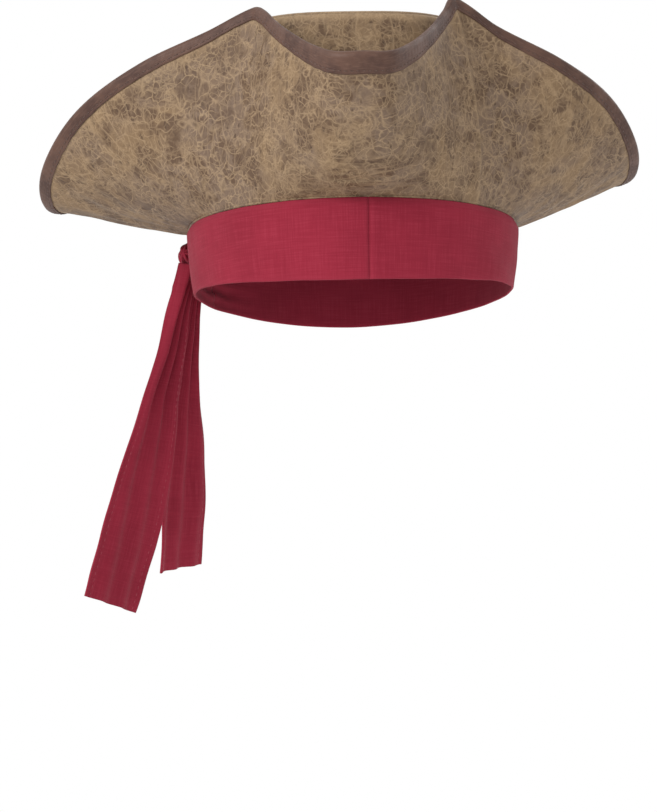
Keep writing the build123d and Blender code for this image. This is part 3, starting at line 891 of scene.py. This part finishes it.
def makeLiningPieces(liningFinish, sweatFinish, threadFinish):
    s = crownSettings
    inset = hat["panel"] + hat["play"]
    high = s["panelTop"] - hat["play"] * 2 - hat["lining"]
    columns, rows = s["liningGrid"]
    turns, measures = evenTurns(-180, 180, columns, 90)

    # seen from inside, so the sheet is turned to face the head
    def side(u, v):
        k = columns - round(u * columns)
        height = hat["seamHeight"] + (high - hat["seamHeight"]) * v
        a = math.radians(turns[k])
        pleat = abs(math.sin(a * s["liningPleats"] / 2)) ** 0.5
        deep = ramp(height, 90, high) * 1.5 * (1 - pleat)
        flat = crownPoint(turns[k], height, inset)
        deep += 0.5 + 0.5 * roughen(flat, 26, 23)
        place = crownPoint(turns[k], height, inset + rimInset(height) + hat["lining"] + max(0, deep))
        return place, measures[k], height, 0.0

    piece = meshObject("liningSide", sheetMesh(columns, rows, side, joinSides=True))
    addThickness(piece, hat["lining"])
    dress(piece, liningFinish, "lining", "lining_side")

    def top(reach, turn):
        half, power = crownHalf(high, inset + rimInset(high) + 0.4)
        radius = rimReach(turn, half, power) * reach
        x, y = radius * math.cos(-turn), radius * math.sin(-turn)
        spot = Vector((x, y, 0))
        rays = (1 - reach) * 0.4 * math.sin(turn * s["liningPleats"]) * ramp(reach, 0.2, 0.5)
        sag = 1.2 * ramp(reach, 1.0, 0.5)
        height = high - sag + rays + 0.5 * roughen(spot, 25, 29) * (1 - reach)
        return Vector((x, y, height)), x, y, 0.0

    cells = s["liningTopCells"]
    piece = meshObject("liningTop", sheetMesh(cells, cells, discShape(top)))
    addThickness(piece, hat["lining"])
    dress(piece, liningFinish, "lining", "lining_top")

    sweatInset = inset + hat["lining"] + hat["play"]
    sweatColumns, sweatRows = s["sweatGrid"]
    sweatTurns, sweatMeasures = evenTurns(-180, 180, sweatColumns, 60)

    def sweat(u, v):
        k = sweatColumns - round(u * sweatColumns)
        height = hat["seamHeight"] + s["sweatHeight"] * v
        flat = crownPoint(sweatTurns[k], height, sweatInset)
        proud = 1.0 + 0.5 * ramp(v, 0.86, 1.0) * (1 + roughen(flat, 15, 31))
        proud += 0.35 * bump(v, 0.94, 0.05)
        return crownPoint(sweatTurns[k], height, sweatInset + proud), sweatMeasures[k], height, 0.0

    piece = meshObject("sweatBand", sheetMesh(sweatColumns, sweatRows, sweat, joinSides=True))
    addThickness(piece, s["sweatThick"])
    dress(piece, sweatFinish, "sweatband", "sweatband")
    bm = bmesh.new()
    count = s["sweatStitches"]
    seamTurns = evenTurns(-180, 180, count * 4, 60)[0]
    for k in range(count):
        for height in (hat["seamHeight"] + 3, hat["seamHeight"] + s["sweatHeight"] - 4):
            ends = [crownPoint(seamTurns[4 * k + j], height, sweatInset + 1.25) for j in (0, 3)]
            inwards = -Vector((ends[0].x, ends[0].y, 0)).normalized()
            addStitch(bm, ends[0], ends[1], inwards, 0.3)
    dress(meshObject("sweatBandStitches", bm), threadFinish, "thread")


def makeCrown(finishes):
    makeCrownPanel("crownFront", -90, "crown_front", finishes["leather"])
    makeCrownPanel("crownBack", 90, "crown_back", finishes["leather"])
    makeCrownTop(finishes["leather"])
    makeLiningPieces(finishes["lining"], finishes["sweat"], finishes["paleThread"])
    print("crown ready")


# ---- head band: two folded strips of cotton ----
bandSettings = {
    "topLevel": 46.6, "climbStart": 4, "backTop": 51.6,
    "columnStep": 1.9, "faceRows": 26, "foldRows": 5,
    "bulge": 0.7,                         # how far the middle of its outside stands out
    "topLean": 1.7,                       # the top edge is drawn in to the brim's root
    "perDegree": 1.83, "perDegreeAtKnot": 1.8,        # millimetres along the band for each degree
    "broad": (24, 0.45), "fine": (22, 0.12),          # size and height of the uneven surface
    "pullHeight": 0.8, "seamRidge": 0.25, "seamGroove": 0.4,
    "gatherSpread": 26, "gatherHeight": 0.9,          # folds that run in to the knot
    "foldWear": 0.5, "footWear": 0.35, "seamWear": 0.3,
}


def bandTopAt(y):
    s = bandSettings
    share = (y - s["climbStart"]) / (hat["brimRoot"][1] - s["climbStart"])
    return s["topLevel"] + (s["backTop"] - s["topLevel"]) * max(0, share)


def bandFootAt(x):
    side = hat["bandTop"][0]
    radius = (side ** 2 + hat["bandSideRise"] ** 2) / (2 * hat["bandSideRise"])
    return radius - math.sqrt(radius ** 2 - min(side, abs(x)) ** 2)


def bandHalf(height, inset):
    u = height / bandSettings["backTop"]
    return [a + (b - a) * u - inset for a, b in zip(hat["bandFoot"], hat["bandTop"])]


# millimetres along the band to the middle of the knot
def fromKnot(angle):
    return abs((angle - hat["knotAngle"] + 180) % 360 - 180) * bandSettings["perDegreeAtKnot"]


def makeBandPiece(name, node, firstAngle, lastAngle, finish):
    s = bandSettings
    columns = int((lastAngle - firstAngle) * s["perDegree"] / s["columnStep"])
    rows = 2 * (s["faceRows"] + s["foldRows"])
    thick = hat["bandThick"]
    broad, fine = s["broad"], s["fine"]

    def shape(u, v):
        angle = firstAngle + (lastAngle - firstAngle) * u
        spot = ovalPoint(hat["bandTop"], angle)
        low, high = bandFootAt(spot.x), bandTopAt(spot.y)
        ripple = 0.35 * roughen(spot, 17, 37)
        low, high = low + 0.5 * roughen(spot, 30, 41), high - 0.15 + 0.15 * roughen(spot, 9, 43)
        row = v * rows
        face, fold, radius = s["faceRows"], s["foldRows"], thick / 2
        if row <= face:                                # the outside, from foot to top
            height, depth = low + radius + (high - low - thick) * row / face, 0.0
        elif row <= face + fold:                       # over the top fold
            turn = math.pi * (row - face) / fold
            height, depth = high - radius + radius * math.sin(turn), radius * (1 - math.cos(turn))
        elif row <= 2 * face + fold:                   # the inside, from top to foot
            height, depth = high - radius - (high - low - thick) * (row - face - fold) / face, thick
        else:
            turn = math.pi * (row - 2 * face - fold) / fold
            height, depth = low + radius - radius * math.sin(turn), radius * (1 + math.cos(turn))
        t = (height - low) / (high - low)
        outside = 1 - ramp(depth, 0.2 * thick, 0.8 * thick)
        near = bump(fromKnot(angle), 0, s["gatherSpread"])
        push = s["bulge"] * 4 * t * (1 - t) * outside
        wave = math.sin(2 * math.pi * t * 4.5 + 2.2 * roughen(spot, 20, 47))
        push += near * s["gatherHeight"] * wave * ramp(t, 0.02, 0.15) * ramp(1 - t, 0.02, 0.15)
        flat = Vector((spot.x, spot.y, height))
        drawn = Vector((spot.x * 3, spot.y * 3, height))
        push += broad[1] * roughen(flat, broad[0], 53) + fine[1] * roughen(drawn, fine[0], 59)
        pull = bump(spot.x, 88, 14) * ramp(-spot.y, -30, 30)
        push += pull * s["pullHeight"] * math.sin(t * 9 + spot.y * 0.09) * t * (1 - t) * 2.4
        seam = abs(spot.x - hat["bandSeamX"]) if spot.y < 0 else 99
        push += outside * (s["seamRidge"] * bump(seam, 3.2, 1.8) - s["seamGroove"] * bump(seam, 0, 0.6))
        push += ripple * 0.3 - s["topLean"] * ramp(t, 0.9, 1.0)
        place = ovalPoint(bandHalf(height, depth - push), angle, height)
        wearAndHighlight = s["foldWear"] * bump(t, 0.97, 0.03) + s["footWear"] * bump(t, 0.02, 0.03)
        wearAndHighlight += s["seamWear"] * bump(seam, 1.4, 0.8) * outside
        return place, angle * s["perDegree"], height, wearAndHighlight * outside

    bm = sheetMesh(columns, rows, shape, joinEnds=True, fillEnds=True)
    bmesh.ops.recalc_face_normals(bm, faces=bm.faces)
    dress(meshObject(name, bm), finish, "red_cotton", node)


def makeBand(finishes):
    seamAngle = math.degrees(math.asin(hat["bandSeamX"] / hat["bandTop"][0]))
    makeBandPiece("bandLeft", "band_left", hat["knotAngle"], seamAngle, finishes["cotton"])
    makeBandPiece("bandRight", "band_right", seamAngle, 360 + hat["knotAngle"], finishes["cotton"])
    print("band ready")


# ---- knot and tails ----
knotSettings = {
    "height": 40, "radius": 8.5, "halfLength": 14, "room": 0.3, "endRadius": 3.5,
    "wrapHalf": 5.2, "pleats": 7, "pleatHeight": 0.75, "columns": 150, "rows": 96,
}
knotOut = outwardAt(hat["bandTop"], hat["knotAngle"])
knotAxis = Vector((-knotOut.y, knotOut.x, 0))          # along the band, towards the front
knotFoot = ovalPoint(hat["bandTop"], hat["knotAngle"])
knotReach = knotSettings["room"] + knotSettings["radius"]
knotCentre = knotFoot + knotOut * knotReach + Vector((0, 0, knotSettings["height"]))


def makeKnot(finish):
    s = knotSettings
    full, end, half = s["radius"], s["endRadius"], s["halfLength"]
    arc = (half ** 2 + (full - end) ** 2) / (2 * (full - end))

    def shape(u, v):
        turn = 2 * math.pi * u
        x = half * (2 * v - 1)
        across = Vector((math.cos(turn), math.sin(turn), 0)) * 10
        spindle = math.sqrt(arc ** 2 - x * x) - (arc - full)
        closing = ramp(half - abs(x), 0, 0.9) ** 0.5
        pleat = math.sin(s["pleats"] * turn + 0.16 * x + 1.2 * roughen(across, 14, 61))
        wrapped = ramp(s["wrapHalf"] - abs(x + 1.5 * math.sin(turn)), -0.4, 0.8)
        loose = spindle - 1.3 + s["pleatHeight"] * pleat + 0.5 * roughen(across + Vector((x, 0, 0)), 9, 67)
        wrap = full - 0.35 + 0.3 * math.sin(x * 1.5 + 2 * roughen(across, 12, 71)) - 0.5 * bump(x, -1.4, 0.6)
        radius = (loose + (wrap - loose) * wrapped) * closing
        away = knotOut * math.cos(turn) + Vector((0, 0, 1)) * math.sin(turn)
        place = knotCentre + knotAxis * x + away * radius
        return place, full * turn, x, 0.3 * max(0, pleat) * (1 - wrapped)

    bm = sheetMesh(s["columns"], s["rows"], shape, joinSides=True, joinEnds=True)
    bmesh.ops.remove_doubles(bm, verts=bm.verts, dist=0.001)
    bmesh.ops.recalc_face_normals(bm, faces=bm.faces)
    dress(meshObject("bandKnot", bm), finish, "red_cotton", "band_knot")


tailSettings = {
    "start": 9.1, "lean": 10, "splay": 9, "apart": 6, "topWidth": 10,
    "tucked": 2.5,                        # how far the cloth goes up into the knot
    "tailFront": {"way": 1, "length": 215, "width": 50, "body": "tail_front", "seed": 3, "twist": 16},
    "tailBack": {"way": -1, "length": 190, "width": 46, "body": "tail_back", "seed": 8, "twist": -14},
    "columns": 60, "rows": 190, "endSlant": 8,
    "thickness": 1.12, "singleShare": 0.45,           # of the two-layer hem, and the rest as a share of it
    "hem": 5, "stitchPitch": 4.0, "stitchRadius": 0.22, "stitchLift": 0.55,
    "pleats": 2.6, "pleatDepth": 1.7, "gatherDepth": 2.4, "sway": 3.0, "curl": 3.2, "ripple": 1.1,
    "bendLength": 24,                     # length of cloth, in mm
}


def makeTail(name, finish, threadFinish):
    s, t = tailSettings, tailSettings[name]
    tilt = math.radians(s["lean"])
    down = (Vector((0, 0, -math.cos(tilt))) + knotOut * math.sin(tilt)).normalized()
    side = knotAxis * t["way"]
    out = knotOut * math.cos(tilt) + Vector((0, 0, 1)) * math.sin(tilt)
    root = knotCentre + side * s["apart"]
    lean = t["length"] * math.sin(math.radians(s["splay"]))

    def spot(across, share, lift=0.0):
        # across runs from -0.5 to 0.5, share from the knot to the end
        gather = 1 - ramp(share, 0, 0.55)
        width = s["topWidth"] + (t["width"] - s["topWidth"]) * (0.35 * share + 0.65 * ramp(share, 0, 0.85))
        slant = s["endSlant"] * (0.5 - across) * ramp(share, 0.5, 1)
        distance = s["start"] - s["tucked"] + (t["length"] - s["start"] + s["tucked"]) * share + slant
        phase = 2 * math.pi * s["pleats"] * across + 0.8 * math.sin(5 * share + t["seed"])
        depth = (s["gatherDepth"] * gather + s["pleatDepth"] - 0.5 * share) * math.sin(phase)
        sway = s["sway"] * math.sin(3.4 * share + t["seed"]) * share
        turn = math.radians(t["twist"]) * math.sin(2.6 * share)
        flat = across * width
        curl = s["curl"] * (2 * across) ** 2 * share * math.sin(4 * share + t["seed"])
        place = root + down * distance
        place += side * (lean * share ** 1.1 + flat * math.cos(turn) + 0.6 * math.cos(phase) * gather)
        ripple = s["ripple"] * roughen(Vector((flat, distance, t["seed"] * 9)), 26, 73)
        place += out * (depth + sway * 0.6 + flat * math.sin(turn) + curl + ripple + lift)
        return place

    def shape(u, v):
        across = u - 0.5
        edge, toEnd = (0.5 - abs(across)) * t["width"], (1 - v) * t["length"]
        wearAndHighlight = 0.45 * bump(edge, s["hem"], 0.9) + 0.25 * bump(edge, 0.6, 0.8)
        wearAndHighlight += 0.4 * bump(toEnd, s["hem"], 0.9)
        return spot(across, v), across * t["width"], v * t["length"], wearAndHighlight

    bm = sheetMesh(s["columns"], s["rows"], shape)
    bmesh.ops.recalc_face_normals(bm, faces=bm.faces)
    piece = meshObject(name, bm)
    # the hem is two layers of cloth
    group = piece.vertex_groups.new(name="hem")
    clothUv = piece.data.uv_layers["cloth"].data
    for loop in piece.data.loops:
        across, along = clothUv[loop.index].uv
        edge = min(t["width"] / 2 - abs(across) / mm, t["length"] - along / mm)
        group.add([loop.vertex_index], 1.0 if edge < s["hem"] else s["singleShare"], "REPLACE")
    wall = piece.modifiers.new("thickness", "SOLIDIFY")
    wall.thickness = s["thickness"] * mm
    wall.offset = 0
    wall.vertex_group = "hem"
    wall.thickness_vertex_group = 0.1
    piece.data.materials.append(finish)
    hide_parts(t["body"])
    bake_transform(piece)
    stitches = bmesh.new()
    count = int((t["length"] - s["start"]) / s["stitchPitch"])
    for edgeSide in (-1, 1):
        across = edgeSide * (0.5 - s["hem"] * 0.8 / t["width"])
        for k in range(6, count):
            for sign in (1, -1):
                ends = [spot(across, (k + j) / count, s["stitchLift"] * sign) for j in (0.1, 0.75)]
                addStitch(stitches, ends[0], ends[1], out * sign, s["stitchRadius"])
    seams = meshObject(name + "Stitches", stitches)
    seams.data.materials.append(threadFinish)
    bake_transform(seams)


# ---- thread tacks between brim and crown ----
tackSettings = {
    "angles": (44, -44, 180), "share": 0.66,          # where they are round the brim and how far up it
    "threads": [(-1.0, 1.4), (0.2, 0.6), (1.1, 1.9)],  # how far aside each thread starts, and its sag
    "radius": 0.38, "steps": 5,
}


def makeTacks(finish):
    bm = bmesh.new()
    s = tackSettings
    for angle in s["angles"]:
        section = sectionAt(angle)
        start = section.point(section.length * s["share"], hat["brimThick"] - 0.4)
        half, power = crownHalf(start.z, 0.6)
        scale = (abs(start.x / half[0]) ** power + abs(start.y / half[1]) ** power) ** (1 / power)
        end = Vector((start.x / scale, start.y / scale, start.z))
        up = Vector((0, 0, 1))
        aside = (end - start).cross(up).normalized()
        steps = s["steps"]
        for shift, sag in s["threads"]:
            spots = [start.lerp(end, j / steps) + aside * shift * (1 - 2 * j / steps)
                     - up * sag * 4 * (j / steps) * (1 - j / steps) for j in range(steps + 1)]
            for a, b in zip(spots, spots[1:]):
                reach = (b - a) * 0.15
                addStitch(bm, a - reach, b + reach, up, s["radius"])
    dress(meshObject("brimTacks", bm), finish, "thread", "brim_tacks")


# ---- build ----
scene.view_settings.view_transform = "Standard"
makeCamera(cameraSettings)
makeStage(stageSettings)
print("camera and studio ready")
finishes = {
    "leather": makeLeather(leatherSettings),
    "tape": makeTape(tapeSettings),
    "cotton": makeCotton(cottonSettings),
    "lining": makeLining(liningSettings),
    "sweat": makeSweatTape(sweatSettings),
    "felt": makeFelt(feltSettings),
    "wire": makeWire(wireSettings),
    "brownThread": makeThread("brownThread", (0.055, 0.028, 0.020, 1), (0.11, 0.06, 0.045, 1)),
    "redThread": makeThread("redThread", (0.22, 0.02, 0.035, 1), (0.36, 0.05, 0.075, 1)),
    "paleThread": makeThread("paleThread", (0.20, 0.17, 0.14, 1), (0.32, 0.28, 0.24, 1)),
}
print("finishes ready")
makeBrim(finishes)
makeCrown(finishes)
makeBand(finishes)
makeKnot(finishes["cotton"])
for tailName in ("tailFront", "tailBack"):
    makeTail(tailName, finishes["cotton"], finishes["redThread"])
makeTacks(finishes["brownThread"])
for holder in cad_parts["brim_wire"].material_slots:
    holder.material = finishes["wire"]
print("knot, tails, tacks and wire ready")
